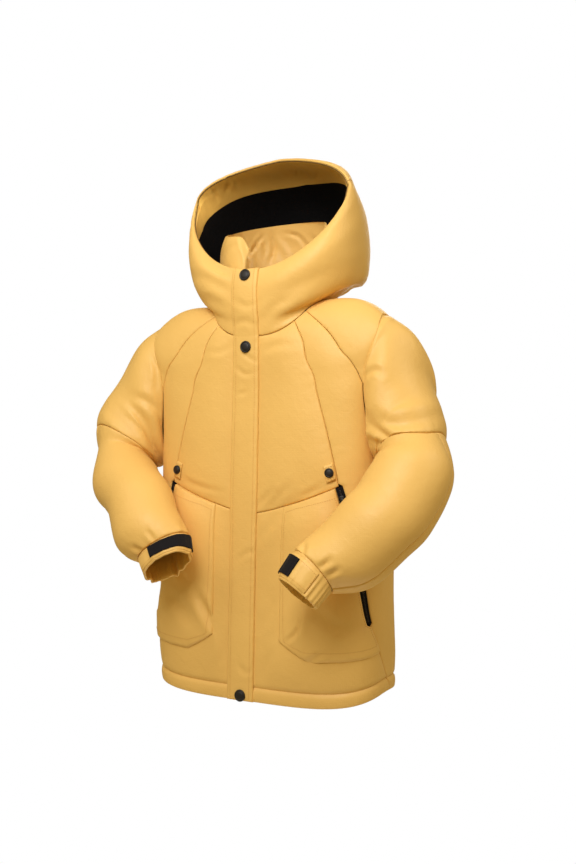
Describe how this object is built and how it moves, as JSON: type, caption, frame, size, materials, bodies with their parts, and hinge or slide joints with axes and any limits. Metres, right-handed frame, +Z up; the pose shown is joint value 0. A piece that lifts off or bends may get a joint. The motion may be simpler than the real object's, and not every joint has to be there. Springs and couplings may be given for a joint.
{
  "type": "kids puffer coat",
  "caption": "Hooded padded winter coat for a child, filled out as if worn, with raglan seams, a snapped storm flap over the front zip, patch pockets with side zips and strapped, gathered cuffs.",
  "frame": {"origin": "midway between the wearer's shoulders, at the height of the side of the neck", "axes": "+Z up, +X towards the wearer's left, -Y towards the front"},
  "size_m": [0.5879, 0.3484, 0.7934],
  "materials": {
    "shell": "smooth polyester, slightly satin",
    "lining": "matt",
    "hook_and_loop": "matt, fuzzy",
    "zip_tape": "matt woven",
    "snap": "smooth"
  },
  "bodies": {
    "root": {"back": "shell", "chest_snap_L": "snap", "chest_snap_R": "snap", "chest_tab_L": "shell", "chest_tab_R": "shell", "cuff_L": "shell", "cuff_R": "shell", "cuff_patch_L": "hook_and_loop", "cuff_patch_R": "hook_and_loop", "cuff_tab_L": "shell", "cuff_tab_R": "shell", "forearm_top_L": "shell", "forearm_top_R": "shell", "forearm_under_L": "shell", "forearm_under_R": "shell", "front_centre_L": "shell", "front_centre_R": "shell", "front_lower_L": "shell", "front_lower_R": "shell", "front_side_L": "shell", "front_side_R": "shell", "front_zip": "zip_tape", "hood_centre": "shell", "hood_facing": "shell", "hood_lining": "lining", "hood_side_L": "shell", "hood_side_R": "shell", "inner_collar": "shell", "pocket_L": "shell", "pocket_R": "shell", "pocket_zip_L": "zip_tape", "pocket_zip_R": "zip_tape", "shoulder_L": "shell", "shoulder_R": "shell", "sleeve_upper_L": "shell", "sleeve_upper_R": "shell", "snap_bottom": "snap", "snap_middle": "snap", "snap_top": "snap", "storm_flap": "shell"}
  },
  "joints": []
}
